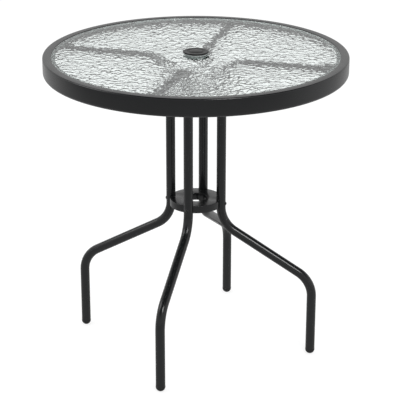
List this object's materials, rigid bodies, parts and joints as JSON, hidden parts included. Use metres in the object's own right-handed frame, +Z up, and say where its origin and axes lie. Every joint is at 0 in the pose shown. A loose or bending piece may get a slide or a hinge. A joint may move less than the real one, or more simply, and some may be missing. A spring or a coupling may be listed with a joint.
{
  "type": "umbrella table",
  "caption": "Round patio table with a glass top in a steel rim, bent tube legs tied by a ring plate, and a capped collar for an umbrella pole.",
  "frame": {"origin": "on the floor, below the middle of the table top", "axes": "+Z up along the table's axis and the umbrella bore, the four legs along +X, +Y, -X and -Y"},
  "size_m": [0.6999, 0.7, 0.7266],
  "materials": {
    "powder_coat": "satin powder coat",
    "glass": "clear, with a rippled underside",
    "gasket": "matt, pale",
    "collar": "satin moulding",
    "clear_moulding": "clear, soft",
    "feet": "matt moulding",
    "bolts": "black",
    "nuts": "zinc plated"
  },
  "bodies": {
    "table": {"rim_frame": "powder_coat", "glass_top": "glass", "glass_gasket": "gasket", "umbrella_collar": "collar", "collar_washer": "clear_moulding", "collar_lock_ring": "clear_moulding", "centre_ring": "powder_coat", "ring_bolts": "bolts", "ring_nuts": "nuts", "rim_bolts": "bolts", "rim_bracket_right": "powder_coat", "leg_right": "powder_coat", "foot_cap_right": "feet", "arm_plug_right": "feet", "rim_bracket_back": "powder_coat", "leg_back": "powder_coat", "foot_cap_back": "feet", "arm_plug_back": "feet", "rim_bracket_left": "powder_coat", "leg_left": "powder_coat", "foot_cap_left": "feet", "arm_plug_left": "feet", "rim_bracket_front": "powder_coat", "leg_front": "powder_coat", "foot_cap_front": "feet", "arm_plug_front": "feet"},
    "cap": {"collar_cap": "collar"}
  },
  "joints": [
    {"name": "cap_lift", "type": "slide", "parent": "table", "child": "cap", "axis": [0, 0, 1], "range_m": [0, 0.1]}
  ]
}
